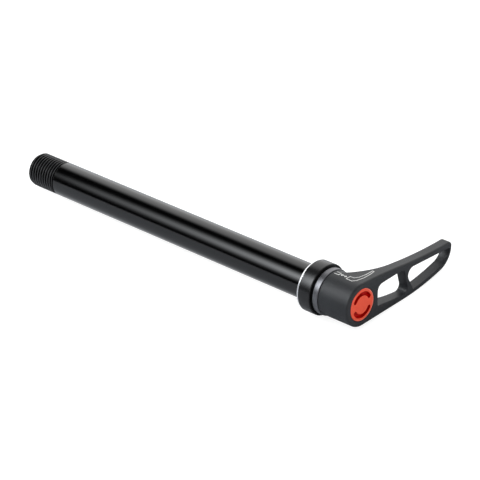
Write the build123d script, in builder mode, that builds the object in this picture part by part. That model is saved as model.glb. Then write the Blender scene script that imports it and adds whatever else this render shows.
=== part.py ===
"""Bicycle thru axle: a hollow threaded axle with a lift-and-turn ratchet lever.

X runs along the axle towards the lever, Y towards the lever's tip and Z up. The origin is
on the axle's axis, in the plane of the collar's bearing face. The axle lies as it comes to
rest: on its collar, its threaded end and the belly of the lever's arm.
"""

import os
from math import acos, atan2, cos, hypot, radians, sin, tan

from build123d import *

# Shank and thread, millimetres
SHANK_D = 15.0
SHANK_REACH = 162.4
SHANK_BORE_D = 9.6
THREAD_D = 14.95
THREAD_LENGTH = 15.9
THREAD_RELIEF_D = 13.2
THREAD_RELIEF_WIDTH = 1.2
TIP_CHAMFER = 0.65
BORE_CHAMFER = 0.5

# Collar, the ring that grips it to the axle, and its thrust washer
COLLAR_D = 22.0
COLLAR_LENGTH = 6.8
COLLAR_EDGE = 0.25
BEVEL_LENGTH = 0.8
BEVEL_DEPTH = 0.4
JOURNAL_D = 15.5
RUNNING_CLEARANCE = 0.05
AXIAL_PLAY = 0.05
O_RING_SECTION_D = 1.2
O_RING_SIDE_ROOM = 0.15
WASHER_D = 20.2
WASHER_THICKNESS = 0.7
WASHER_EDGE = 0.25

# Axle head: flange and toothed boss
FLANGE_D = 19.9
FLANGE_THICKNESS = 2.65
FLANGE_EDGE = 0.3
TOOTH_COUNT = 24
TOOTH_TIP_D = 14.0
TOOTH_ROOT_D = 12.4
TOOTH_ROOT_WIDTH = 1.05
TOOTH_TIP_WIDTH = 0.45
TOOTH_LENGTH = 3.6
TOOTH_CLEARANCE = 0.12

# Retaining screw with its round cap head
SCREW_THREAD_D = 8.0
SCREW_THREAD_LENGTH = 12.0
SCREW_THREAD_CLEARANCE = 0.05
SCREW_SHOULDER_D = 9.0
CAP_D = 14.0
CAP_THICKNESS = 2.2
CAP_EDGE = 0.15
SLOT_RADIUS = 4.85
SLOT_WIDTH = 1.8
SLOT_SWEEP_DEG = 120.0
SLOT_DEPTH = 1.4

# Lever barrel
BARREL_D = 19.1
BARREL_LENGTH = 15.3
BARREL_BACK_EDGE = 0.3
CAP_CLEARANCE = 0.13
SPRING_SEAT_THICKNESS = 1.6
SPRING_SEAT_CLEARANCE = 0.3
BOSS_END_CLEARANCE = 0.3

# Return spring
SPRING_WIRE_D = 0.8
SPRING_COIL_D = 11.4
SPRING_TURNS = 3.25

# Lever arm, measured from the axle's axis along the arm and across it
REST_ROLL_DEG = 8.4
ARM_REACH = 56.8
ARM_THICKNESS = 4.6
NECK_RADIUS = 30.0
NECK_END = 22.0
TOP_SWEEP_AT = 24.0
TOP_SWEEP_HEIGHT = 8.45
TIP_HEIGHT = 7.8
TIP_CORNER = 2.1
TIP_SIDE = 2.3
TIP_CORNER_SHARE = 0.97
BELLY_START = 26.0
BELLY_START_DEPTH = 7.9
BELLY_END_DEPTH = 3.5
TIP_SWEEP = 6.6
ARM_FRONT_EDGE = 0.7
ARM_BACK_EDGE = 0.5

# Windows in the arm, each with the radii of its corners
WINDOW_EDGE = 0.25
NEAR_WEB = 2.55
NEAR_TOP = 4.85
NEAR_BOTTOM = 4.3
NEAR_INNER_CORNERS = (1.0, 3.0)
NEAR_OUTER_CORNERS = (1.8, 2.6)
STRUT_TOP_AT = 25.9
STRUT_TOP_WIDTH = 0.6
STRUT_BOTTOM_AT = 29.4
STRUT_BOTTOM_WIDTH = 3.1
FAR_TOP = 5.25
FAR_CORNERS = (1.0, 3.2, 0.6)
UPPER_BAR = 2.4
LOWER_BAR = 1.95
TIP_WALL = 1.3
TIP_UPPER_BAR = 2.85
FAR_END_SHARE = 0.8

# Places along the axle that follow from the sizes above
flange_back_x = COLLAR_LENGTH + WASHER_THICKNESS + AXIAL_PLAY
flange_front_x = flange_back_x + FLANGE_THICKNESS
boss_end_x = flange_front_x + TOOTH_LENGTH
lever_face_x = flange_front_x + BARREL_LENGTH
seat_back_x = boss_end_x + BOSS_END_CLEARANCE
seat_front_x = seat_back_x + SPRING_SEAT_THICKNESS
cap_back_x = lever_face_x - CAP_THICKNESS
tip_x = -SHANK_REACH
thread_end_x = tip_x + THREAD_LENGTH
screw_end_x = boss_end_x - SCREW_THREAD_LENGTH

# Radii that two pieces share
shank_r = SHANK_D / 2
journal_r = JOURNAL_D / 2
collar_bore_r = journal_r + RUNNING_CLEARANCE
barrel_r = BARREL_D / 2
chamber_r = CAP_D / 2 + CAP_CLEARANCE
tapped_r = SCREW_THREAD_D / 2 + SCREW_THREAD_CLEARANCE

# The lever's own plane, square to the axle and rolled to the angle at which it rests
roll = radians(REST_ROLL_DEG)
arm_dir = (0, cos(roll), -sin(roll))
across_dir = (0, sin(roll), cos(roll))
below_dir = (0, -sin(roll), -cos(roll))


def lever_plane(x):
    """Plane square to the axle at x, with the arm along its first axis."""
    return Plane(origin=(x, 0, 0), x_dir=arm_dir, z_dir=(1, 0, 0))


def toothed_profile(clearance):
    """Sketch of the ratchet's toothed outline, grown all round by the clearance."""
    root_r = TOOTH_ROOT_D / 2 + clearance
    tip_r = TOOTH_TIP_D / 2 + clearance
    foot = TOOTH_ROOT_WIDTH / 2 + clearance
    crest = TOOTH_TIP_WIDTH / 2 + clearance
    sunk_r = root_r * cos(radians(180 / TOOTH_COUNT))
    with BuildSketch(mode=Mode.PRIVATE) as profile:
        Circle(root_r)
        with PolarLocations(0, TOOTH_COUNT):
            Polygon((sunk_r, -foot), (tip_r, -crest), (tip_r, crest), (sunk_r, foot), align=None)
    return profile.sketch


def barrel_tangent(reach, height):
    """Point where a straight edge from (reach, height) meets the barrel from below."""
    angle = atan2(height, reach) - acos(barrel_r / hypot(reach, height))
    return (barrel_r * cos(angle), barrel_r * sin(angle))


def above_edge(edge, share, distance):
    """Point at a distance to the left of an edge, at a share of its run."""
    return edge @ share + Vector(edge % share).rotate(Axis.Z, 90) * distance


def round_corners(sketch, corners, radii):
    """Round each named corner of a sketch by its own radius."""
    for corner, radius in zip(corners, radii):
        fillet(sketch.vertices().sort_by_distance(corner)[0], radius)


# Axle: hollow shank, threaded end, collar journal, flange and boss, turned as one piece
with BuildPart() as axle_shaft:
    with BuildSketch(Plane.XY):
        with BuildLine():
            Polyline(
                (tip_x, 0),
                (tip_x, THREAD_D / 2),
                (thread_end_x - THREAD_RELIEF_WIDTH, THREAD_D / 2),
                (thread_end_x - THREAD_RELIEF_WIDTH, THREAD_RELIEF_D / 2),
                (thread_end_x, THREAD_RELIEF_D / 2),
                (thread_end_x, shank_r),
                (0, shank_r),
                (0, journal_r),
                (flange_back_x, journal_r),
                (flange_back_x, FLANGE_D / 2),
                (flange_front_x, FLANGE_D / 2),
                (flange_front_x, 0),
                close=True,
            )
        make_face()
    revolve(axis=Axis.X)
    chamfer(axle_shaft.edges().filter_by(GeomType.CIRCLE).sort_by(SortBy.RADIUS)[-2:], FLANGE_EDGE)
    chamfer(axle_shaft.edges().filter_by(GeomType.CIRCLE).sort_by(Axis.X)[0], TIP_CHAMFER)
    with BuildSketch(lever_plane(flange_front_x)):
        add(toothed_profile(0))
    extrude(amount=TOOTH_LENGTH)
    with BuildSketch(Plane.YZ.offset(boss_end_x)):
        Circle(tapped_r)
    extrude(amount=-boss_end_x, mode=Mode.SUBTRACT)
    with BuildSketch(Plane.YZ.offset(tip_x)):
        Circle(SHANK_BORE_D / 2)
    extrude(amount=SHANK_REACH, mode=Mode.SUBTRACT)
    mouth = axle_shaft.faces().sort_by(Axis.X)[0].inner_wires().edges()
    chamfer(mouth, BORE_CHAMFER)
axle_shaft.part.label = "axle_shaft"

# Clamping collar: bright bevel on the bearing side, groove for the grip ring in its bore
o_ring_mid_x = COLLAR_LENGTH / 2
o_ring_mid_r = collar_bore_r + O_RING_SECTION_D / 2
with BuildPart() as clamp_collar:
    with BuildSketch(Plane.XY):
        with BuildLine():
            Polyline(
                (0, collar_bore_r),
                (0, COLLAR_D / 2 - BEVEL_DEPTH),
                (BEVEL_LENGTH, COLLAR_D / 2),
                (COLLAR_LENGTH, COLLAR_D / 2),
                (COLLAR_LENGTH, collar_bore_r),
                close=True,
            )
        make_face()
        with Locations((o_ring_mid_x, o_ring_mid_r)):
            Rectangle(O_RING_SECTION_D + 2 * O_RING_SIDE_ROOM, O_RING_SECTION_D, mode=Mode.SUBTRACT)
    revolve(axis=Axis.X)
    fillet(clamp_collar.faces().sort_by(Axis.X)[-1].outer_wire().edges(), COLLAR_EDGE)
clamp_collar.part.label = "clamp_collar"

# Rubber ring in the collar's groove, which keeps the loose collar from sliding off
with BuildPart() as grip_o_ring:
    with BuildSketch(Plane.XY):
        with Locations((o_ring_mid_x, o_ring_mid_r)):
            Circle(O_RING_SECTION_D / 2)
    revolve(axis=Axis.X)
grip_o_ring.part.label = "grip_o_ring"

# Black thrust washer between the collar and the turning flange
with BuildPart() as thrust_washer:
    with BuildSketch(Plane.YZ.offset(COLLAR_LENGTH)):
        Circle(WASHER_D / 2)
        Circle(collar_bore_r, mode=Mode.SUBTRACT)
    extrude(amount=WASHER_THICKNESS)
    fillet(thrust_washer.faces().sort_by(Axis.X)[-1].outer_wire().edges(), WASHER_EDGE)
thrust_washer.part.label = "thrust_washer"

# Retaining screw: round cap flush with the lever, shoulder on the boss, thread in the axle
slot_line = CenterArc((0, 0), SLOT_RADIUS, 90 - SLOT_SWEEP_DEG / 2, SLOT_SWEEP_DEG)
slot_profile = SlotArc(slot_line, SLOT_WIDTH)
with BuildPart() as cap_screw:
    with BuildSketch(Plane.YZ.offset(cap_back_x)):
        Circle(CAP_D / 2)
    extrude(amount=CAP_THICKNESS)
    chamfer(cap_screw.faces().sort_by(Axis.X)[-1].edges(), CAP_EDGE)
    with BuildSketch(Plane.YZ.offset(boss_end_x)):
        Circle(SCREW_SHOULDER_D / 2)
    extrude(amount=cap_back_x - boss_end_x)
    with BuildSketch(Plane.YZ.offset(screw_end_x)):
        Circle(SCREW_THREAD_D / 2)
    extrude(amount=SCREW_THREAD_LENGTH)
    with BuildSketch(lever_plane(lever_face_x)):
        add(slot_profile)
        add(slot_profile, rotation=180)
    extrude(amount=-SLOT_DEPTH, mode=Mode.SUBTRACT)
cap_screw.part.label = "cap_screw"

# Return spring: wire wound round the screw, ends ground flat on the seat and the cap
spring_height = cap_back_x - seat_front_x
with BuildPart() as lever_spring:
    with BuildLine() as wire_path:
        Helix(
            pitch=spring_height / SPRING_TURNS,
            height=spring_height,
            radius=SPRING_COIL_D / 2,
            center=(seat_front_x, 0, 0),
            direction=(1, 0, 0),
        )
    with BuildSketch(Plane(wire_path.line @ 0, z_dir=wire_path.line % 0)):
        Circle(SPRING_WIRE_D / 2)
    sweep(path=wire_path.line, is_frenet=True)
    with BuildSketch(Plane.YZ.offset(seat_front_x)):
        Circle(chamber_r)
    extrude(amount=spring_height, mode=Mode.INTERSECT)
lever_spring.part.label = "lever_spring"

# Lever: windowed arm blended into a barrel that holds the ratchet teeth and the spring
arm_back_x = lever_face_x - ARM_THICKNESS
tip_corner = (ARM_REACH, TIP_HEIGHT)
tip_foot = (ARM_REACH, TIP_HEIGHT - TIP_SIDE)
belly_start = (BELLY_START, -BELLY_START_DEPTH)
belly_end = Vector(ARM_REACH - TIP_SWEEP, -BELLY_END_DEPTH)
barrel_foot = barrel_tangent(*belly_start)
window_near = chamber_r + NEAR_WEB
window_tip = ARM_REACH - TIP_WALL
near_corners = (
    (window_near, -NEAR_BOTTOM),
    (window_near, NEAR_TOP),
    (STRUT_TOP_AT, TOP_SWEEP_HEIGHT - UPPER_BAR),
    (STRUT_BOTTOM_AT, -BELLY_START_DEPTH + LOWER_BAR),
)
far_top_near = (STRUT_TOP_AT + STRUT_TOP_WIDTH, FAR_TOP)
far_top_end = (window_tip, TIP_HEIGHT - TIP_UPPER_BAR)
sill_start = (STRUT_BOTTOM_AT + STRUT_BOTTOM_WIDTH - BELLY_START) / (belly_end.X - BELLY_START)
sill_shares = (sill_start, (sill_start + 1) / 2, 1)
end_walls = ((0, LOWER_BAR), (FAR_END_SHARE / 2, (LOWER_BAR + TIP_WALL) / 2), (FAR_END_SHARE, TIP_WALL))
with BuildPart() as lever:
    with BuildSketch(lever_plane(lever_face_x)) as arm_outline:
        with BuildLine():
            top_near = TangentArc((0, barrel_r), (TOP_SWEEP_AT, TOP_SWEEP_HEIGHT), tangent=(1, 0))
            top_far = TangentArc(top_near @ 1, tip_corner, tangent=top_near % 1)
            tip_edge = Line(tip_corner, tip_foot)
            bottom = Line(barrel_foot, belly_start)
            belly = TangentArc(belly_start, belly_end, tangent=bottom % 1)
            tip_side = TangentArc(belly_end, tip_foot, tangent=belly % 1)
            Line(barrel_foot, (0, barrel_r))
        make_face()
        tip_turn = radians((top_far % 1).get_angle(tip_edge % 0))
        tip_room = TIP_SIDE * TIP_CORNER_SHARE / tan(tip_turn / 2)
        round_corners(arm_outline, (tip_corner,), (min(TIP_CORNER, tip_room),))
    extrude(amount=-BARREL_LENGTH)
    with BuildSketch(Plane(origin=(0, 0, 0), x_dir=arm_dir, z_dir=below_dir)):
        with Locations((NECK_END, arm_back_x - NECK_RADIUS)):
            Circle(NECK_RADIUS)
            Rectangle(ARM_REACH, NECK_RADIUS, align=(Align.MIN, Align.MIN))
    extrude(amount=BARREL_D, both=True, mode=Mode.SUBTRACT)
    neck_face = lever.faces().sort_by(Axis.X)[0]
    back_face = lever.faces().filter_by(Axis.X).sort_by(Axis.X)[0]
    back_edges = neck_face.edges() + back_face.edges()
    side_edges = back_edges.filter_by(Axis((0, 0, 0), across_dir), reverse=True)
    fillet(side_edges.sort_by(Axis((0, 0, 0), arm_dir))[1:], ARM_BACK_EDGE)
    with BuildSketch(lever_plane(flange_front_x)):
        Circle(barrel_r)
    extrude(amount=BARREL_LENGTH)
    fillet(lever.faces().sort_by(Axis.X)[-1].outer_wire().edges(), ARM_FRONT_EDGE)
    chamfer(lever.faces().sort_by(Axis.X)[0].outer_wire().edges(), BARREL_BACK_EDGE)
    with BuildSketch(lever_plane(lever_face_x)) as near_window:
        with BuildLine():
            Polyline(*near_corners, close=True)
        make_face()
        round_corners(near_window, near_corners, NEAR_INNER_CORNERS + NEAR_OUTER_CORNERS)
    with BuildSketch(lever_plane(lever_face_x)) as far_window:
        with BuildLine():
            sill = ThreePointArc(*(above_edge(belly, share, LOWER_BAR) for share in sill_shares))
            far_end = ThreePointArc(*(above_edge(tip_side, share, wall) for share, wall in end_walls))
            Polyline(far_end @ 1, far_top_end, far_top_near, sill @ 0)
        make_face()
        round_corners(far_window, (sill @ 0, far_top_near, far_top_end), FAR_CORNERS)
    extrude(amount=-BARREL_LENGTH, mode=Mode.SUBTRACT)
    window_rims = lever.faces().sort_by(Axis.X)[-1].inner_wires().edges()
    fillet(window_rims, WINDOW_EDGE)
    with BuildSketch(lever_plane(flange_front_x)):
        add(toothed_profile(TOOTH_CLEARANCE))
    extrude(amount=seat_back_x - flange_front_x, mode=Mode.SUBTRACT)
    with BuildSketch(lever_plane(seat_back_x)):
        Circle(SCREW_SHOULDER_D / 2 + SPRING_SEAT_CLEARANCE)
    extrude(amount=SPRING_SEAT_THICKNESS, mode=Mode.SUBTRACT)
    with BuildSketch(lever_plane(seat_front_x)):
        Circle(chamber_r)
    extrude(amount=lever_face_x - seat_front_x, mode=Mode.SUBTRACT)
lever.part.label = "lever"

os.makedirs("parts", exist_ok=True)
for piece in (axle_shaft, clamp_collar, grip_o_ring, thrust_washer, cap_screw, lever_spring, lever):
    export_step(piece.part, f"parts/{piece.part.label}.step")
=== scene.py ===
"""Looks of a bicycle thru axle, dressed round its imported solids.

Sizes are millimetres in the row's frame: X along the axle towards the lever, Y towards the
lever's tip, Z up, and the origin on the axis in the plane of the collar's bearing face.
"""

import logging
from dataclasses import dataclass, field
from enum import Enum

import bmesh
import bpy
import numpy as np
from mathutils import Euler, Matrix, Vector

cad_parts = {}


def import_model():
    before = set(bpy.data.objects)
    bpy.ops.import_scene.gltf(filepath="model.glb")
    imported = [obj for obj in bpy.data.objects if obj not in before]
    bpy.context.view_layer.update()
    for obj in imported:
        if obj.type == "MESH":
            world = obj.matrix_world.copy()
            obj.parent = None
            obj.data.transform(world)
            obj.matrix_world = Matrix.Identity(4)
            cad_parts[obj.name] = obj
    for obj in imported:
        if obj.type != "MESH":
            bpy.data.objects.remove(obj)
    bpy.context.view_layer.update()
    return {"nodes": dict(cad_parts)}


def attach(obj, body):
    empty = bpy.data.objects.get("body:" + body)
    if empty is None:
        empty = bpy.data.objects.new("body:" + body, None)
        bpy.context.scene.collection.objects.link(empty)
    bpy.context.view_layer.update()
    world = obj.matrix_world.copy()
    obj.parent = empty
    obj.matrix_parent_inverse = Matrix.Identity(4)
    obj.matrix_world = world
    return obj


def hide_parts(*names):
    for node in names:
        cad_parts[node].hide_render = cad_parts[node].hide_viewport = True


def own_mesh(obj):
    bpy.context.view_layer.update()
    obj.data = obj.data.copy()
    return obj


log = logging.getLogger("thru_axle")

MM = 0.001
SHARP_ANGLE_DEG = 28.0
WELD_MM = 1e-4
REST_ROLL_DEG = 8.4

Pair = tuple[float, float]
Triple = tuple[float, float, float]
Colour = tuple[float, float, float, float]
Link = bpy.types.NodeSocket | float | tuple

WHITE: Colour = (1.0, 1.0, 1.0, 1.0)


class Slot(Enum):
    """The record's material slot names, which this script gives to no piece."""

    AXLE = "black_anodised"
    COLLAR = "black_anodised_collar"
    WASHER = "washer_polymer"
    SPRING = "spring_steel"
    LEVER = "blasted_grey"


class Body(Enum):
    """The rigid bodies that pieces ride on."""

    AXLE = "axle"
    COLLAR = "collar"
    SPRING = "spring"
    LEVER = "lever"


@dataclass
class Sheet:
    """Vertices and faces of a surface, gathered from several grids before it becomes a mesh."""

    points: list[np.ndarray] = field(default_factory=list)
    quads: list[np.ndarray] = field(default_factory=list)
    count: int = 0

    def add(self, points: np.ndarray, quads: np.ndarray) -> None:
        """Append a grid's points (n, 3) and its quads (m, 4), counted from the grid's first point.

        Args:
            points: positions in millimetres.
            quads: four point numbers for each face.
        """
        self.points.append(points.reshape(-1, 3))
        self.quads.append(quads.reshape(-1, 4) + self.count)
        self.count += len(self.points[-1])

    def build(self, name: str) -> bpy.types.Object:
        """Weld the grids into one closed mesh, with sharp edges kept crisp.

        Args:
            name: the new object's name.

        Returns:
            The object, at the origin, with its place in its mesh.
        """
        mesh = bpy.data.meshes.new(name)
        points = np.concatenate(self.points) * MM
        mesh.from_pydata(points.tolist(), [], np.concatenate(self.quads).tolist())
        work = bmesh.new()
        work.from_mesh(mesh)
        bmesh.ops.remove_doubles(work, verts=work.verts, dist=WELD_MM * MM)
        bmesh.ops.dissolve_degenerate(work, edges=work.edges, dist=WELD_MM * MM)
        bmesh.ops.recalc_face_normals(work, faces=work.faces)
        work.to_mesh(mesh)
        work.free()
        mesh.polygons.foreach_set("use_smooth", np.ones(len(mesh.polygons), bool))
        mesh.set_sharp_from_angle(angle=np.radians(SHARP_ANGLE_DEG))
        obj = bpy.data.objects.new(name, mesh)
        bpy.context.scene.collection.objects.link(obj)
        return obj


def ring_quads(rows: int, columns: int, shift: int = 0) -> np.ndarray:
    """Quads of a grid of rings, closed round its columns.

    Point (i, j) is number i * columns + j. The last column joins the first one, shift rows on.

    Args:
        rows: rings along the grid.
        columns: points round each ring.
        shift: rows by which the seam climbs, as on a helix.

    Returns:
        Array (faces, 4) of point numbers.
    """
    row, column = np.meshgrid(np.arange(rows - 1), np.arange(columns), indexing="ij")
    over = column == columns - 1
    following = np.where(over, 0, column + 1)
    climbed = row + np.where(over, shift, 0)
    keep = climbed + 1 < rows
    corners = (
        row * columns + column,
        climbed * columns + following,
        (climbed + 1) * columns + following,
        (row + 1) * columns + column,
    )
    return np.stack([corner[keep] for corner in corners], axis=-1)


def turned(x: np.ndarray, radius: np.ndarray, angle: np.ndarray) -> np.ndarray:
    """Points at place x along the axle, at a radius and an angle round it.

    Formula: (x, radius cos(angle), radius sin(angle)), with the three arrays broadcast together.

    Args:
        x: places along the axle.
        radius: distances from the axis.
        angle: angles in radians, from +Y towards +Z.

    Returns:
        Array (..., 3) of positions.
    """
    x, radius, angle = np.broadcast_arrays(x, radius, angle)
    return np.stack([x, radius * np.cos(angle), radius * np.sin(angle)], axis=-1)


def lathe(profile: np.ndarray, angle: np.ndarray) -> tuple[np.ndarray, np.ndarray]:
    """Surface of revolution: each profile point (x, r) becomes a ring round the X axis.

    Args:
        profile: array (n, 2) of places along the axle and radii.
        angle: angles round the axis, without the closing one.

    Returns:
        Points (n, columns, 3) and the quads of the grid.
    """
    points = turned(profile[:, :1], profile[:, 1:], angle[None, :])
    return points, ring_quads(len(profile), len(angle))


def rounded(corners: list[Triple], steps: int = 6) -> np.ndarray:
    """Outline with its corners rounded by quadratic blends.

    Each corner (x, r, cut) is left by cut on both sides, and the blend between the two points is
    (1-t)^2 a + 2t(1-t) corner + t^2 b. A cut of 0 keeps the corner sharp.

    Args:
        corners: places, radii and cuts, in order.
        steps: points on each blend.

    Returns:
        Array (n, 2) of the outline's points.
    """
    places = np.array(corners)[:, :2]
    cuts = np.array(corners)[:, 2]
    t = np.linspace(0.0, 1.0, steps)[:, None]
    pieces = []
    for index, cut in enumerate(cuts):
        here = places[index]
        if cut == 0:
            pieces.append(here[None, :])
            continue
        to_last = places[index - 1] - here
        to_next = places[(index + 1) % len(places)] - here
        start = here + cut * to_last / np.linalg.norm(to_last)
        end = here + cut * to_next / np.linalg.norm(to_next)
        pieces.append((1 - t) ** 2 * start + 2 * t * (1 - t) * here + t**2 * end)
    return np.concatenate(pieces)


@dataclass
class Graph:
    """A node tree under construction."""

    tree: bpy.types.NodeTree

    def node(
        self, kind: str, inputs: dict[str | int, Link] | None = None, **settings: object
    ) -> bpy.types.Node:
        """Add a node, set its properties, and set or link its inputs.

        Args:
            kind: the node's type name.
            inputs: socket name or number to a value or to another node's output.
            settings: properties of the node itself.

        Returns:
            The new node.
        """
        made = self.tree.nodes.new(kind)
        for name, value in settings.items():
            setattr(made, name, value)
        for key, value in (inputs or {}).items():
            if isinstance(value, bpy.types.NodeSocket):
                self.tree.links.new(value, made.inputs[key])
            else:
                made.inputs[key].default_value = value
        return made

    def math(self, operation: str, *values: Link) -> bpy.types.NodeSocket:
        """Add a Math node and return its result."""
        return self.node("ShaderNodeMath", dict(enumerate(values)), operation=operation).outputs[0]

    def blend(self, factor: Link, a: Link, b: Link) -> bpy.types.NodeSocket:
        """Add a colour mix from a to b and return its result."""
        made = self.node("ShaderNodeMix", {0: factor, 6: a, 7: b}, data_type="RGBA")
        return made.outputs[2]

    def band(self, value: Link, low: float, high: float) -> bpy.types.NodeSocket:
        """Add a smooth step of a value from 0 at low to 1 at high and return its result."""
        sockets = {"Value": value, "From Min": low, "From Max": high}
        return self.node("ShaderNodeMapRange", sockets, interpolation_type="SMOOTHSTEP").outputs[0]


class Effect(Enum):
    """Surface effects that several finishes share, each a node group built once."""

    TURNED = "turned_grain"
    BLASTED = "blasted_grain"
    HANDLED = "handling_marks"


class EffectLibrary:
    """Builds each shared effect the first time that a finish asks for it."""

    RING_SQUEEZE: Triple = (1.0, 0.03, 0.03)
    TONE_SCALE = 90.0
    SPECK_SHARE = 0.35
    SMEAR_SCALE = 140.0
    NOISE_MIDDLE = 0.5

    def __init__(self) -> None:
        """Start with no groups."""
        self.groups: dict[Effect, bpy.types.NodeTree] = {}

    def place(self, graph: Graph, effect: Effect, values: dict[str, Link]) -> bpy.types.Node:
        """Place an effect's group in a material.

        Args:
            graph: the material's nodes.
            effect: which effect.
            values: inputs of the group by name.

        Returns:
            The group node.
        """
        if effect not in self.groups:
            builders = {
                Effect.TURNED: self.build_turned,
                Effect.BLASTED: self.build_blasted,
                Effect.HANDLED: self.build_handled,
            }
            self.groups[effect] = builders[effect]()
        return graph.node("ShaderNodeGroup", values, node_tree=self.groups[effect])

    @staticmethod
    def start(
        effect: Effect, inputs: list[str], outputs: list[str]
    ) -> tuple[Graph, bpy.types.Node, bpy.types.Node]:
        """Make an empty group with a Vector input, further value inputs and value outputs.

        Args:
            effect: which effect it will be.
            inputs: names of its value inputs.
            outputs: names of its value outputs.

        Returns:
            The group's graph, its input node and its output node.
        """
        tree = bpy.data.node_groups.new(effect.value, "ShaderNodeTree")
        tree.interface.new_socket("Vector", in_out="INPUT", socket_type="NodeSocketVector")
        for name in inputs:
            tree.interface.new_socket(name, in_out="INPUT", socket_type="NodeSocketFloat")
        for name in outputs:
            tree.interface.new_socket(name, in_out="OUTPUT", socket_type="NodeSocketFloat")
        graph = Graph(tree)
        return graph, graph.node("NodeGroupInput"), graph.node("NodeGroupOutput")

    def build_turned(self) -> bpy.types.NodeTree:
        """Fine rings round the X axis left by the lathe: noise stretched round the axle.

        Returns:
            The group's tree.
        """
        graph, given, result = self.start(Effect.TURNED, ["Rings"], ["Height"])
        squeezed = graph.node(
            "ShaderNodeVectorMath", {0: given.outputs["Vector"], 1: self.RING_SQUEEZE}, operation="MULTIPLY"
        )
        noise = graph.node(
            "ShaderNodeTexNoise",
            {"Vector": squeezed.outputs[0], "Scale": given.outputs["Rings"], "Detail": 3.0, "Roughness": 0.6},
        )
        graph.tree.links.new(noise.outputs[0], result.inputs["Height"])
        return graph.tree

    def build_blasted(self) -> bpy.types.NodeTree:
        """Pitted grain of blasted metal: fine cells broken by noise, and a slow change of tone.

        Returns:
            The group's tree.
        """
        graph, given, result = self.start(Effect.BLASTED, ["Grain"], ["Height", "Tone"])
        vector = given.outputs["Vector"]
        cells = graph.node("ShaderNodeTexVoronoi", {"Vector": vector, "Scale": given.outputs["Grain"]})
        noise = graph.node(
            "ShaderNodeTexNoise", {"Vector": vector, "Scale": given.outputs["Grain"], "Detail": 4.0}
        )
        height = graph.math("ADD", cells.outputs["Distance"], noise.outputs[0])
        slow = graph.node("ShaderNodeTexNoise", {"Vector": vector, "Scale": self.TONE_SCALE, "Detail": 5.0})
        speck = graph.math("MULTIPLY_ADD", noise.outputs[0], self.SPECK_SHARE, slow.outputs[0])
        graph.tree.links.new(height, result.inputs["Height"])
        graph.tree.links.new(speck, result.inputs["Tone"])
        return graph.tree

    def build_handled(self) -> bpy.types.NodeTree:
        """Faint smears of use: roughness that drifts by the given spread about the given level.

        Returns:
            The group's tree.
        """
        graph, given, result = self.start(Effect.HANDLED, ["Level", "Spread"], ["Roughness"])
        smear = graph.node(
            "ShaderNodeTexNoise",
            {
                "Vector": given.outputs["Vector"],
                "Scale": self.SMEAR_SCALE,
                "Detail": 6.0,
                "Roughness": 0.65,
            },
        )
        centred = graph.math("SUBTRACT", smear.outputs[0], self.NOISE_MIDDLE)
        rough = graph.math("MULTIPLY_ADD", centred, given.outputs["Spread"], given.outputs["Level"])
        graph.tree.links.new(rough, result.inputs["Roughness"])
        return graph.tree


@dataclass(frozen=True)
class Finish:
    """A surface finish: a Principled shader with grain, smears and drifting tone."""

    name: str
    colour: Colour
    roughness: float
    spread: float = 0.05
    metallic: float = 0.0
    specular: float = 0.5
    effect: Effect = Effect.TURNED
    grain: float = 5000.0
    grain_depth_mm: float = 0.004
    grain_strength: float = 0.3
    tone_spread: float = 0.0
    tone_band: Pair = (0.35, 0.95)

    def material(self, effects: EffectLibrary) -> bpy.types.Material:
        """Build the material.

        Args:
            effects: the shared node groups.

        Returns:
            The new material.
        """
        made = bpy.data.materials.new(self.name)
        made.use_nodes = True
        made.node_tree.nodes.clear()
        graph = Graph(made.node_tree)
        where = graph.node("ShaderNodeTexCoord").outputs["Object"]
        smears = effects.place(
            graph, Effect.HANDLED, {"Vector": where, "Level": self.roughness, "Spread": self.spread}
        )
        key = "Rings" if self.effect is Effect.TURNED else "Grain"
        grain = effects.place(graph, self.effect, {"Vector": where, key: self.grain})
        bump = graph.node(
            "ShaderNodeBump",
            {
                "Strength": self.grain_strength,
                "Distance": self.grain_depth_mm * MM,
                "Height": grain.outputs["Height"],
            },
        )
        shader = graph.node(
            "ShaderNodeBsdfPrincipled",
            {
                **self.surface(graph, where, grain, smears),
                "Specular IOR Level": self.specular,
                "Normal": bump.outputs[0],
            },
        )
        graph.node("ShaderNodeOutputMaterial", {"Surface": shader.outputs[0]})
        return made

    def surface(
        self, graph: Graph, where: bpy.types.NodeSocket, grain: bpy.types.Node, smears: bpy.types.Node
    ) -> dict[str, Link]:
        """Gather the shader's inputs that zones may change, here without zones.

        Args:
            graph: the material's nodes.
            where: object coordinates, for finishes with zones; not used here.
            grain: the grain group's node.
            smears: the smear group's node.

        Returns:
            Inputs of the shader by name.
        """
        return {
            "Base Color": self.base_colour(graph, grain),
            "Roughness": smears.outputs["Roughness"],
            "Metallic": self.metallic,
        }

    def base_colour(self, graph: Graph, grain: bpy.types.Node) -> Link:
        """Return the colour, darker and lighter with the grain's tone where the finish asks for it.

        Args:
            graph: the material's nodes.
            grain: the grain group's node.

        Returns:
            A colour, or a socket that gives one.
        """
        if self.tone_spread == 0 or "Tone" not in grain.outputs:
            return self.colour
        share = graph.band(grain.outputs["Tone"], *self.tone_band)
        low = tuple(channel * (1 - self.tone_spread) for channel in self.colour[:3]) + (1.0,)
        high = tuple(channel * (1 + self.tone_spread) for channel in self.colour[:3]) + (1.0,)
        return graph.blend(share, low, high)


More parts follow.
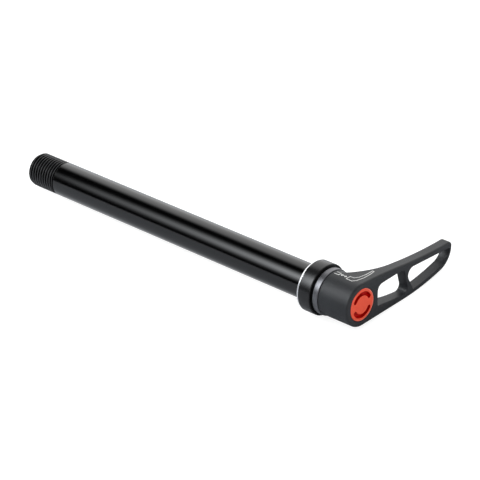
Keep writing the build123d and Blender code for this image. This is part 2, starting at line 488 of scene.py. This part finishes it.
@dataclass(frozen=True)
class Zone:
    """A stretch of the axle's length with a look of its own, from a radius outwards if one is given.

    A side, as a direction across the axle, keeps the look to the half of the piece on that side, as for a
    highlight painted along one side of a rim.
    """

    low_mm: float
    high_mm: float
    colour: Colour
    roughness: float
    metallic: float
    rise_mm: Pair | None = None
    side: Pair | None = None
    side_fade_mm: float = 3.0

    def mask(self, graph: Graph, where: bpy.types.NodeSocket) -> bpy.types.NodeSocket:
        """Return 1 on the stretch and 0 elsewhere, with fades between the radii and towards the side.

        Args:
            graph: the material's nodes.
            where: object coordinates.

        Returns:
            A socket from 0 to 1.
        """
        x, y, z = graph.node("ShaderNodeSeparateXYZ", {0: where}).outputs
        before_end = graph.math("LESS_THAN", x, self.high_mm * MM)
        after_start = graph.math("GREATER_THAN", x, self.low_mm * MM)
        inside = graph.math("MULTIPLY", before_end, after_start)
        if self.rise_mm is not None:
            square = graph.math("MULTIPLY_ADD", y, y, graph.math("MULTIPLY", z, z))
            radius = graph.math("SQRT", square)
            rise = graph.band(radius, self.rise_mm[0] * MM, self.rise_mm[1] * MM)
            inside = graph.math("MULTIPLY", inside, rise)
        if self.side is not None:
            reach = graph.math("MULTIPLY_ADD", y, self.side[0], graph.math("MULTIPLY", z, self.side[1]))
            near = graph.band(reach, -self.side_fade_mm * MM, self.side_fade_mm * MM)
            inside = graph.math("MULTIPLY", inside, near)
        return inside


@dataclass(frozen=True)
class ZonedFinish(Finish):
    """A finish with stretches of the X axis that look different."""

    zones: tuple[Zone, ...] = ()

    def surface(
        self, graph: Graph, where: bpy.types.NodeSocket, grain: bpy.types.Node, smears: bpy.types.Node
    ) -> dict[str, Link]:
        """Lay each zone's look over the finish's own.

        Args:
            graph: the material's nodes.
            where: object coordinates.
            grain: the grain group's node.
            smears: the smear group's node.

        Returns:
            Inputs of the shader by name.
        """
        look = super().surface(graph, where, grain, smears)
        for zone in self.zones:
            mask = zone.mask(graph, where)
            look["Base Color"] = graph.blend(mask, look["Base Color"], zone.colour)
            changes = {
                "Roughness": zone.roughness - self.roughness,
                "Metallic": zone.metallic - self.metallic,
            }
            for name, change in changes.items():
                if change != 0:
                    look[name] = graph.math("MULTIPLY_ADD", mask, change, look[name])
        return look


CUT_BEVEL = Zone(0.02, 0.95, (0.95, 0.95, 0.96, 1.0), roughness=0.3, metallic=1.0)
SATIN_FLANGE = Zone(7.5, 10.25, (0.15, 0.15, 0.16, 1.0), roughness=0.34, metallic=0.8)
# Lighter, rougher grey on the thread's crests all round: a painted highlight along the crests.
PAINTED_CREST_HIGHLIGHT = Zone(
    -162.5, -147.1, (0.03, 0.0305, 0.032, 1.0), roughness=0.34, metallic=0.0, rise_mm=(7.05, 7.45)
)
BLACK_ANODISED = ZonedFinish(
    "black_anodised",
    (0.0005, 0.0005, 0.00055, 1.0),
    roughness=0.14,
    zones=(SATIN_FLANGE, PAINTED_CREST_HIGHLIGHT),
)
BLACK_COLLAR = ZonedFinish(
    "black_collar", (0.007, 0.007, 0.0075, 1.0), roughness=0.25, specular=0.42, zones=(CUT_BEVEL,)
)
BLACK_POLYMER = Finish("black_polymer", (0.001, 0.001, 0.001, 1.0), roughness=0.5, specular=0.05)
RING_RUBBER = Finish("ring_rubber", (0.01, 0.01, 0.01, 1.0), roughness=0.7, specular=0.3)
# Paler red on the cap's outer rim, kept to the half towards +Y and down: a painted highlight along the rim's
# edge.
PAINTED_RIM_HIGHLIGHT = Zone(
    25.2, 25.8, (1.0, 0.34, 0.26, 1.0), roughness=0.3, metallic=0.7, rise_mm=(6.5, 6.75), side=(0.82, -0.57)
)
# Darker red on the cap behind its face, in the slots and recesses: painted shade inside the recesses.
PAINTED_RECESS_SHADE = Zone(12.0, 25.4, (0.62, 0.005, 0.001, 1.0), roughness=0.45, metallic=0.75)
RED_ANODISED = ZonedFinish(
    "red_anodised",
    (1.0, 0.1, 0.04, 1.0),
    roughness=0.3,
    metallic=0.4,
    zones=(PAINTED_RIM_HIGHLIGHT, PAINTED_RECESS_SHADE),
)
SPRING_WIRE = Finish("spring_wire", (0.5, 0.5, 0.51, 1.0), roughness=0.3, metallic=1.0)
WHITE_PRINT = Finish("white_print", (0.6, 0.6, 0.585, 1.0), roughness=0.5)
BLASTED_GREY = Finish(
    "blasted_grey",
    (0.009, 0.0104, 0.0124, 1.0),
    roughness=0.5,
    spread=0.08,
    effect=Effect.BLASTED,
    grain=5500.0,
    grain_depth_mm=0.03,
    grain_strength=0.5,
    tone_spread=0.25,
)


def dress(obj: bpy.types.Object, material: bpy.types.Material, body: Body) -> None:
    """Give a new piece its material and the body that it rides on.

    Args:
        obj: the piece.
        material: its finish.
        body: the body that carries it.
    """
    obj.data.materials.clear()
    obj.data.materials.append(material)
    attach(obj, body.value)
    log.info("%s: %d faces, rides on %s", obj.name, len(obj.data.polygons), body.value)


def paint(node: bpy.types.Object, material: bpy.types.Material) -> None:
    """Put a material on a node that is shown as it is.

    Args:
        node: the solid's mesh.
        material: its finish.
    """
    node.data.materials.clear()
    node.data.materials.append(material)
    log.info("%s: painted with %s", node.name, material.name)


@dataclass
class Axle:
    """Hollow axle with its thread, flange and toothed boss, as one closed surface."""

    tip: float = -162.4
    tip_chamfer: float = 0.65
    bore_radius: float = 4.8
    bore_chamfer: float = 0.5
    thread_radius: float = 7.475
    thread_end: float = -147.2
    thread_pitch: float = 1.5
    thread_depth: float = 0.92
    root_share: float = 0.125
    crest_share: float = 0.0625
    flank_share: float = 0.28
    relief_radius: float = 6.6
    shank_start: float = -146.5
    shank_radius: float = 7.5
    shank_edge: float = 0.22
    journal_radius: float = 7.75
    flange_back: float = 7.55
    flange_front: float = 10.2
    flange_radius: float = 9.95
    flange_edge: float = 0.3
    boss_end: float = 13.8
    boss_edge: float = 0.2
    tapped_radius: float = 4.05
    tooth_count: int = 24
    tooth_root_radius: float = 6.2
    tooth_tip_radius: float = 7.0
    tooth_tip_deg: float = 1.84
    tooth_root_deg: float = 4.77

    def angles(self) -> np.ndarray:
        """Angles round the axle, with columns on every tooth's corners, before they are rolled as the lever
        rests.

        Returns:
            Angles in degrees from the middle of the first tooth, one row for each tooth.
        """
        half = 180.0 / self.tooth_count
        tip, root = self.tooth_tip_deg, self.tooth_root_deg
        flank, gap = (tip + root) / 2, (root + half) / 2
        one = np.array([-half, -gap, -root, -flank, -tip, 0.0, tip, flank, root, gap])
        return one[None, :] + np.arange(self.tooth_count)[:, None] * 2 * half

    def tooth_radii(self) -> np.ndarray:
        """Radius of the toothed outline at each column: straight flanks between root and tip.

        Returns:
            Radii, one for each angle round the axle.
        """
        half = 180.0 / self.tooth_count
        corners = (-half, -self.tooth_root_deg, -self.tooth_tip_deg)
        places = corners + tuple(-corner for corner in reversed(corners))
        root, tip = self.tooth_root_radius, self.tooth_tip_radius
        one = np.interp(self.angles()[0], places, (root, root, tip, tip, root, root))
        return np.tile(one, self.tooth_count)

    def thread(self, angle: np.ndarray) -> tuple[np.ndarray, np.ndarray]:
        """Right-hand thread as rows that climb one pitch in a turn.

        Row k at angle a lies at x = tip + pitch (k's share of turns + a / 2 pi). Its depth goes
        from the root to the crest along straight flanks. Half the root's flat, half the crest's flat
        and the row on each flank are shares of the pitch. Rows past either end are drawn in to the
        end's ring, and the tip's chamfer cuts the crests.

        Args:
            angle: angles round the axis in radians, from 0 up.

        Returns:
            Points and quads of the grid.
        """
        rise = np.array([0.0, self.root_share, self.flank_share, 0.5 - self.crest_share])
        share = np.concatenate([rise, 1.0 - rise[:0:-1]])
        flanks = (self.root_share, 0.5 - self.crest_share, 0.5 + self.crest_share, 1.0 - self.root_share)
        depth = np.interp(share, flanks, (1.0, 0.0, 0.0, 1.0))
        turns = int(np.ceil((self.thread_end - self.tip) / self.thread_pitch)) + 2
        rows = (np.arange(-1, turns)[:, None] + share[None, :]).ravel()
        depths = np.tile(depth, turns + 1) * self.thread_depth
        turn = (angle - angle[0]) / (2 * np.pi)
        x = self.tip + self.thread_pitch * (rows[:, None] + turn[None, :])
        radius = np.broadcast_to(self.thread_radius - depths[:, None], x.shape)
        cone = self.thread_radius - self.tip_chamfer + (x - self.tip)
        radius = np.minimum(radius, cone)
        radius = np.where(x <= self.tip, self.thread_radius - self.tip_chamfer, radius)
        radius = np.where(x >= self.thread_end, self.relief_radius, radius)
        x = np.clip(x, self.tip, self.thread_end)
        return turned(x, radius, angle[None, :]), ring_quads(len(rows), len(angle), len(share))

    def build(self) -> bpy.types.Object:
        """Join the bore, thread, shank, flange and toothed boss into one closed surface.

        Returns:
            The axle's object.
        """
        angle = np.radians(self.angles().ravel() - REST_ROLL_DEG)
        mouth_radius = self.tapped_radius + self.boss_edge
        bore = np.array([
            (self.boss_end, mouth_radius),
            (self.boss_end - self.boss_edge, self.tapped_radius),
            (0.0, self.tapped_radius),
            (0.0, self.bore_radius),
            (self.tip + self.bore_chamfer, self.bore_radius),
            (self.tip, self.bore_radius + self.bore_chamfer),
            (self.tip, self.thread_radius - self.tip_chamfer),
        ])
        head = rounded([
            (self.thread_end, self.relief_radius, 0.0),
            (self.shank_start, self.relief_radius, 0.0),
            (self.shank_start, self.shank_radius, self.shank_edge),
            (0.0, self.shank_radius, 0.0),
            (0.0, self.journal_radius, 0.0),
            (self.flange_back, self.journal_radius, 0.0),
            (self.flange_back, self.flange_radius, self.flange_edge),
            (self.flange_front, self.flange_radius, self.flange_edge),
            (self.flange_front, self.tooth_tip_radius + self.boss_edge, 0.0),
        ])
        teeth = self.tooth_radii()
        boss = (
            (self.flange_front, np.full_like(teeth, self.tooth_tip_radius + self.boss_edge)),
            (self.flange_front, teeth),
            (self.boss_end - self.boss_edge, teeth),
            (self.boss_end, teeth - self.boss_edge),
            (self.boss_end, np.full_like(teeth, mouth_radius)),
        )
        boss_x = np.array([x for x, _ in boss])
        boss_radius = np.stack([radius for _, radius in boss])
        sheet = Sheet()
        sheet.add(*lathe(bore, angle))
        sheet.add(*self.thread(angle))
        sheet.add(*lathe(head, angle))
        sheet.add(turned(boss_x[:, None], boss_radius, angle[None, :]), ring_quads(len(boss), len(angle)))
        return sheet.build("axle_body")


@dataclass
class Collar:
    """Clamping collar with its bright bevel, and the black washer behind it."""

    length: float = 6.8
    bore_radius: float = 7.8
    radius: float = 11.0
    bevel_length: float = 0.8
    bevel_depth: float = 0.4
    bevel_edge: float = 0.05
    edge: float = 0.35
    fine_edge: float = 0.12
    washer_length: float = 0.7
    washer_radius: float = 10.1
    washer_edge: float = 0.3
    columns: int = 256

    def ring(self, name: str, corners: list[Triple]) -> bpy.types.Object:
        """Turn a closed outline round the axle.

        Args:
            name: the object's name.
            corners: the outline's corners as place, radius and rounding.

        Returns:
            The ring's object.
        """
        outline = rounded(corners)
        angle = np.linspace(0.0, 2 * np.pi, self.columns, endpoint=False)
        sheet = Sheet()
        sheet.add(*lathe(np.concatenate([outline, outline[:1]]), angle))
        return sheet.build(name)

    def build(self) -> tuple[bpy.types.Object, bpy.types.Object]:
        """Turn the collar and the washer.

        Returns:
            The two objects.
        """
        end = self.length + self.washer_length
        collar = self.ring("collar_ring", [
            (0.0, self.bore_radius, self.fine_edge),
            (0.0, self.radius - self.bevel_depth, self.fine_edge),
            (self.bevel_length, self.radius, self.bevel_edge),
            (self.length, self.radius, self.edge),
            (self.length, self.bore_radius, self.fine_edge),
        ])
        washer = self.ring("black_washer", [
            (self.length, self.bore_radius, self.fine_edge),
            (self.length, self.washer_radius, self.fine_edge),
            (end, self.washer_radius, self.washer_edge),
            (end, self.bore_radius, self.fine_edge),
        ])
        return collar, washer


@dataclass
class ReturnSpring:
    """Wound return spring with ground ends, which shortens as the lever lifts; here it keeps its length."""

    back: float = 15.7
    front: float = 23.3
    coil_radius: float = 5.7
    wire_radius: float = 0.4
    turns: float = 3.25
    lift: float = 4.0
    steps: int = 300
    wire_columns: int = 16

    def build(self) -> bpy.types.Object:
        """Carry the wire's circle along a helix, and grind both ends flat.

        Formula: centre (x(t), R cos t, R sin t), plus the wire's radius times
        (sin p) along X and (cos p) outwards, with x clipped between the two ground ends.

        Returns:
            The spring's object.
        """
        t = np.linspace(0.0, 2 * np.pi * self.turns, self.steps)
        p = np.linspace(0.0, 2 * np.pi, self.wire_columns, endpoint=False)
        centre = self.back + (self.front - self.back) * t / t[-1]
        taper = np.ones_like(t)
        taper[0] = taper[-1] = 0.0
        reach = self.wire_radius * taper[:, None]
        x = np.clip(centre[:, None] + reach * np.sin(p), self.back, self.front)
        sheet = Sheet()
        sheet.add(turned(x, self.coil_radius + reach * np.cos(p), t[:, None]), ring_quads(len(t), len(p)))
        return sheet.build("return_spring")

    def follow(self, spring: bpy.types.Object) -> None:
        """Give the spring its own copy of its mesh; it does not shorten as the lever lifts.

        Args:
            spring: the spring's object.
        """
        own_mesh(spring)


@dataclass
class LiftSymbol:
    """Plain printed sign on the lever's root: lift the lever off the axle's end."""

    barrel_radius: float = 9.55
    barrel_reach: float = 4.0
    arm_sweep_at: float = 24.0
    arm_sweep_drop: float = 1.1
    neck_end: float = 22.0
    neck_radius: float = 30.0
    neck_centre: float = -9.1
    neck_edge: float = 0.7
    line_width: float = 0.28
    proud: float = 0.02
    sunk: float = 0.05
    spacing: float = 0.15

    def height(self, x: np.ndarray, along: np.ndarray) -> np.ndarray:
        """Height of the lever's top above the axis, across the arm.

        Formula: the barrel's circle, or the arm's large arc where the arm's top reaches.

        Args:
            x: places along the axle.
            along: places along the arm.

        Returns:
            Heights.
        """
        barrel = np.sqrt(self.barrel_radius**2 - np.minimum(along, self.barrel_reach) ** 2)
        drop = self.arm_sweep_drop
        sweep_radius = (self.arm_sweep_at**2 + drop**2) / (2 * drop)
        arm = self.barrel_radius - sweep_radius + np.sqrt(sweep_radius**2 - along**2)
        reach = np.clip(self.neck_end - along, 0, self.neck_radius)
        neck_back = self.neck_centre + np.sqrt(self.neck_radius**2 - reach**2) + self.neck_edge
        return np.where((along > 0) & (x > neck_back), arm, barrel)

    def path(self, corners: list[Pair]) -> tuple[np.ndarray, np.ndarray]:
        """Samples of a broken line, on its corners and evenly between them, and half a width aside.

        Formula: the half width lies square to the line, and at a corner it lies on the bisector and
        is divided by cos(turn / 2), which mitres both edges. With unit legs a and b on either side
        of the corner, that is (a + b) / (1 + a.b), turned by a right angle.

        Args:
            corners: places along the axle and along the arm; a line that ends where it starts closes.

        Returns:
            The samples (n, 2) and the steps aside (n, 2).
        """
        corner = np.array(corners)
        closed = corners[0] == corners[-1]
        leg = np.diff(corner, axis=0)
        length = np.linalg.norm(leg, axis=1)
        leg /= length[:, None]
        before = np.concatenate([leg[-1:] if closed else leg[:1], leg])
        after = np.concatenate([leg, leg[:1] if closed else leg[-1:]])
        mitre = before + after
        mitre /= np.sum(mitre * after, axis=1, keepdims=True)
        run = np.concatenate([[0.0], np.cumsum(length)])
        even = np.arange(0.0, run[-1], self.spacing)
        clear = np.abs(even[:, None] - run[None, :]).min(axis=1) > self.line_width
        at = np.union1d(even[clear], run)
        line = np.stack([np.interp(at, run, corner[:, 0]), np.interp(at, run, corner[:, 1])], axis=-1)
        along = leg[np.clip(np.searchsorted(run, at, side="right") - 1, 0, len(leg) - 1)]
        along[np.searchsorted(at, run)] = mitre
        return line, np.stack([-along[:, 1], along[:, 0]], axis=-1) * self.line_width / 2

    def stroke(self, corners: list[Pair]) -> tuple[np.ndarray, np.ndarray]:
        """Closed ribbon along a broken line, laid on the lever.

        Each sample becomes a ring of four points, half a width to both sides, just over and just
        under the surface. The ends of an open line close in a point, and a closed line joins itself.

        Args:
            corners: places along the axle and along the arm.

        Returns:
            Points (n, 4, 3) and quads.
        """
        line, side = self.path(corners)
        spread = np.ones(len(line))
        if corners[0] != corners[-1]:
            spread = np.pad(spread, 1)
            line, side = (np.pad(rows, ((1, 1), (0, 0)), mode="edge") for rows in (line, side))
        side = side * spread[:, None]
        flat = np.stack([line - side, line + side, line + side, line - side], axis=1)
        x, reach = flat[..., 0], flat[..., 1]
        layers = np.array([self.proud, self.proud, -self.sunk, -self.sunk])
        high = self.height(x, reach) + layers * spread[:, None]
        roll = np.radians(REST_ROLL_DEG)
        points = np.stack([
            x,
            reach * np.cos(roll) + high * np.sin(roll),
            -reach * np.sin(roll) + high * np.cos(roll),
        ], axis=-1)
        return points, ring_quads(len(line), 4)

    def build(self) -> bpy.types.Object:
        """Lay the sign's strokes: the axle's end, an arrow to both sides, and the lever.

        Returns:
            The sign's object.
        """
        axle_end = [(11.3, 0.9), (13.5, 0.9), (13.5, -0.8), (11.3, -0.8)]
        arrow_line = [(14.3, 0.0), (17.0, 0.0)]
        arrow_back = [(15.0, 0.6), (14.3, 0.0), (15.0, -0.6)]
        arrow_front = [(16.3, 0.6), (17.0, 0.0), (16.3, -0.6)]
        lever = [
            (17.9, 1.2), (17.9, -1.2), (20.8, -1.2), (22.0, 0.2), (22.6, 4.0), (22.4, 8.0),
            (21.7, 11.4), (21.0, 11.3), (21.3, 7.0), (20.9, 3.2), (19.8, 1.4), (17.9, 1.2),
        ]
        sheet = Sheet()
        for corners in (axle_end, arrow_line, arrow_back, arrow_front, lever):
            sheet.add(*self.stroke(corners))
        return sheet.build("lift_symbol")


@dataclass
class KeyCard:
    """Soft key light in front of the axle: a card that glows most near the lever and at its middle."""

    distance: float = 600.0
    towards: Triple = (-0.59, -0.53, 0.61)
    low: float = -330.0
    high: float = 230.0
    level_from: float = 140.0
    half_height: float = 330.0
    middle_glow: float = 5.3
    along_scale: float = 190.0
    across_scale: float = 120.0
    tint: Colour = (0.94, 0.97, 1.0, 1.0)
    steps: int = 48

    def build(self) -> bpy.types.Object:
        """Lay a grid parallel to the axle, with its glow kept at each point.

        Formula: glow = middle exp(min(u, level) / along) exp(-(v / across)^2 / 2), with u along the
        axle from the place whose mirror image is seen in the collar, and v across the card.

        Returns:
            The card's object.
        """
        centre = np.array(self.towards) * self.distance
        facing = np.array([0.0, self.towards[1], self.towards[2]])
        facing /= np.linalg.norm(facing)
        across = np.cross(facing, (1.0, 0.0, 0.0))
        u, v = np.meshgrid(
            np.linspace(self.low, self.high, self.steps),
            np.linspace(-self.half_height, self.half_height, self.steps),
            indexing="ij",
        )
        points = centre + u[..., None] * np.array([1.0, 0.0, 0.0]) + v[..., None] * across
        rise = np.minimum(u, self.level_from) / self.along_scale
        glow = self.middle_glow * np.exp(rise - (v / self.across_scale) ** 2 / 2)
        row, column = np.meshgrid(np.arange(self.steps - 1), np.arange(self.steps - 1), indexing="ij")
        first = (row * self.steps + column).ravel()
        quads = np.stack([first, first + 1, first + self.steps + 1, first + self.steps], axis=-1)
        mesh = bpy.data.meshes.new("key_card")
        mesh.from_pydata((points.reshape(-1, 3) * MM).tolist(), [], quads.tolist())
        mesh.attributes.new("glow", "FLOAT", "POINT").data.foreach_set("value", glow.ravel())
        card = bpy.data.objects.new("key_card", mesh)
        mesh.materials.append(self.material())
        card.visible_camera = False
        bpy.context.scene.collection.objects.link(card)
        return card

    def material(self) -> bpy.types.Material:
        """Cool white light of the strength kept at the card's points.

        Returns:
            The card's material.
        """
        made = bpy.data.materials.new("key_light")
        made.use_nodes = True
        made.node_tree.nodes.clear()
        graph = Graph(made.node_tree)
        glow = graph.node("ShaderNodeAttribute", attribute_name="glow").outputs["Fac"]
        light = graph.node("ShaderNodeEmission", {"Color": self.tint, "Strength": glow})
        graph.node("ShaderNodeOutputMaterial", {"Surface": light.outputs[0]})
        return made


@dataclass(frozen=True)
class Spot:
    """Soft spot of the sky round a direction, from a cosine where it ends to one where it is full."""

    middle: Triple
    ends_at: float
    full_from: float
    glow: float

    def over(self, graph: Graph, towards: bpy.types.NodeSocket, level: Link) -> bpy.types.NodeSocket:
        """Add the spot's light to a level.

        Args:
            graph: the world's nodes.
            towards: the direction that is looked at.
            level: the light there without the spot.

        Returns:
            The light with the spot.
        """
        cosine = graph.node("ShaderNodeVectorMath", {0: towards, 1: self.middle}, operation="DOT_PRODUCT")
        share = graph.band(cosine.outputs["Value"], self.ends_at, self.full_from)
        return graph.math("MULTIPLY_ADD", share, self.glow, level)


WALL_BEHIND = Spot((-0.18, 0.924, 0.334), ends_at=0.503, full_from=0.778, glow=1.52)
WALL_PAST_THREAD = Spot((-1.0, 0.0, 0.0), ends_at=0.82, full_from=0.95, glow=1.6)
WALL_PAST_LEVER = Spot((1.0, 0.0, 0.0), ends_at=0.72, full_from=0.95, glow=0.08)
LIGHT_BESIDE_CAMERA = Spot((0.79, -0.45, 0.42), ends_at=0.85, full_from=0.97, glow=1.8)
SOFT_SKY = Spot((-0.55, 0.35, 0.76), ends_at=-0.2, full_from=0.9, glow=1.5)
SOFT_PAST_LEVER = Spot((1.0, 0.0, 0.0), ends_at=0.72, full_from=0.95, glow=1.8)


@dataclass
class Studio:
    """Pale floor, soft light and the camera."""

    lens: float = 181.416
    sensor: float = 36.0
    clip: Pair = (10.0, 50000.0)
    camera_place: Triple = (568.15, -579.466, 544.928)
    camera_turn_deg: Triple = (57.1746, 5.7194, 42.7066)
    floor_at: float = -11.0
    floor_touch: float = 1.2
    floor_fall: float = 0.0216
    floor_side_fall: float = 0.015
    floor_half: float = 4000.0
    floor_glow: float = 0.86
    floor_lit: float = 0.3
    floor_grey: Colour = (0.435, 0.45, 0.475, 1.0)
    floor_far_glow: float = 0.9
    floor_far: Pair = (30.0, 300.0)
    under_glow: float = 0.36
    under_along: Pair = (-10.0, 5.0)
    under_front: Pair = (-12.0, -4.0)
    under_back: Pair = (6.0, 16.0)
    backdrop: float = 1.0
    mirrored_low: float = 0.004
    mirrored_spots: tuple[Spot, ...] = (
        WALL_BEHIND, WALL_PAST_THREAD, WALL_PAST_LEVER, LIGHT_BESIDE_CAMERA
    )
    soft_low: float = 0.12
    soft_spots: tuple[Spot, ...] = (SOFT_SKY, SOFT_PAST_LEVER)

    def camera(self) -> None:
        """Place the camera at the photograph's viewing angle."""
        data = bpy.data.cameras.new("camera")
        data.lens = self.lens
        data.sensor_width = self.sensor
        data.clip_start, data.clip_end = (end * MM for end in self.clip)
        camera = bpy.data.objects.new("camera", data)
        camera.location = Vector(self.camera_place) * MM
        camera.rotation_euler = Euler(np.radians(self.camera_turn_deg).tolist())
        bpy.context.scene.collection.objects.link(camera)
        bpy.context.scene.camera = camera

    def floor(self) -> bpy.types.Object:
        """Lay a white floor under the collar, the threaded end and the lever's arm.

        Returns:
            The floor's object.
        """
        half = self.floor_half
        corner = np.array([(-half, -half), (half, -half), (half, half), (-half, half)])
        level = self.floor_at - (corner - (self.floor_touch, 0.0)) @ (self.floor_fall, self.floor_side_fall)
        points = np.column_stack([corner, level]) * MM
        mesh = bpy.data.meshes.new("floor")
        mesh.from_pydata(points.tolist(), [], [(0, 1, 2, 3)])
        floor = bpy.data.objects.new("floor", mesh)
        mesh.materials.append(self.floor_material())
        bpy.context.scene.collection.objects.link(floor)
        return floor

    def floor_material(self) -> bpy.types.Material:
        """White to the eye with a faint shadow, and pale grey for the light that it throws back.

        That light grows behind the axle and close under its shank, by smooth steps along X and Y.

        Returns:
            The floor's material.
        """
        made = bpy.data.materials.new("pale_floor")
        made.use_nodes = True
        made.node_tree.nodes.clear()
        graph = Graph(made.node_tree)
        path = graph.node("ShaderNodeLightPath")
        where = graph.node("ShaderNodeTexCoord").outputs["Object"]
        along, behind, _ = graph.node("ShaderNodeSeparateXYZ", {0: where}).outputs
        far = graph.band(behind, *(end * MM for end in self.floor_far))
        under = graph.band(behind, *(end * MM for end in self.under_front))
        for place, ends in ((behind, self.under_back), (along, self.under_along)):
            past = graph.band(place, *(end * MM for end in ends))
            under = graph.math("MULTIPLY", under, graph.math("SUBTRACT", 1.0, past))
        under = graph.math("MULTIPLY", under, self.under_glow)
        strength = graph.math("MULTIPLY_ADD", far, self.floor_far_glow, under)
        far_light = graph.node("ShaderNodeEmission", {"Strength": strength})
        near = graph.node("ShaderNodeBsdfDiffuse", {"Color": self.floor_grey})
        plain = graph.node("ShaderNodeAddShader", {0: near.outputs[0], 1: far_light.outputs[0]})
        shaded = graph.node("ShaderNodeBsdfDiffuse", {"Color": (self.floor_lit,) * 3 + (1.0,)})
        glow = graph.node("ShaderNodeEmission", {"Strength": self.floor_glow})
        bright = graph.node("ShaderNodeAddShader", {0: shaded.outputs[0], 1: glow.outputs[0]})
        both = graph.node(
            "ShaderNodeMixShader",
            {0: path.outputs["Is Camera Ray"], 1: plain.outputs[0], 2: bright.outputs[0]},
        )
        graph.node("ShaderNodeOutputMaterial", {"Surface": both.outputs[0]})
        return made

    def world(self) -> None:
        """White to the camera, spots of light to reflections, and a soft sky to matt surfaces."""
        world = bpy.data.worlds.new("studio")
        bpy.context.scene.world = world
        world.use_nodes = True
        world.node_tree.nodes.clear()
        graph = Graph(world.node_tree)
        path = graph.node("ShaderNodeLightPath")
        towards = graph.node("ShaderNodeTexCoord").outputs["Generated"]
        mirrored: Link = self.mirrored_low
        for spot in self.mirrored_spots:
            mirrored = spot.over(graph, towards, mirrored)
        soft: Link = self.soft_low
        for spot in self.soft_spots:
            soft = spot.over(graph, towards, soft)
        lights = [
            graph.node("ShaderNodeBackground", {"Color": WHITE, "Strength": level}).outputs[0]
            for level in (mirrored, soft, self.backdrop)
        ]
        lit = graph.node(
            "ShaderNodeMixShader", {0: path.outputs["Is Diffuse Ray"], 1: lights[0], 2: lights[1]}
        )
        all_rays = graph.node(
            "ShaderNodeMixShader", {0: path.outputs["Is Camera Ray"], 1: lit.outputs[0], 2: lights[2]}
        )
        graph.node("ShaderNodeOutputWorld", {"Surface": all_rays.outputs[0]})

    def build(self) -> None:
        """Set up the camera, the floor, the world and the key light."""
        bpy.context.scene.view_settings.view_transform = "Standard"
        self.camera()
        self.world()
        self.floor()
        KeyCard().build()


def main() -> None:
    """Load the frame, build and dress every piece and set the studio."""
    logging.basicConfig(level=logging.INFO, format="%(name)s: %(message)s")
    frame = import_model()
    nodes = frame["nodes"]
    effects = EffectLibrary()

    axle = Axle().build()
    dress(axle, BLACK_ANODISED.material(effects), Body.AXLE)
    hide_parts("axle_shaft")

    collar, washer = Collar().build()
    dress(collar, BLACK_COLLAR.material(effects), Body.COLLAR)
    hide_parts("clamp_collar")
    dress(washer, BLACK_POLYMER.material(effects), Body.COLLAR)
    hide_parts("thrust_washer")

    coil = ReturnSpring()
    spring = coil.build()
    dress(spring, SPRING_WIRE.material(effects), Body.SPRING)
    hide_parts("lever_spring")
    coil.follow(spring)

    symbol = LiftSymbol().build()
    dress(symbol, WHITE_PRINT.material(effects), Body.LEVER)

    paint(nodes["lever"], BLASTED_GREY.material(effects))
    paint(nodes["cap_screw"], RED_ANODISED.material(effects))
    paint(nodes["grip_o_ring"], RING_RUBBER.material(effects))

    Studio().build()


if __name__ == "__main__":
    main()
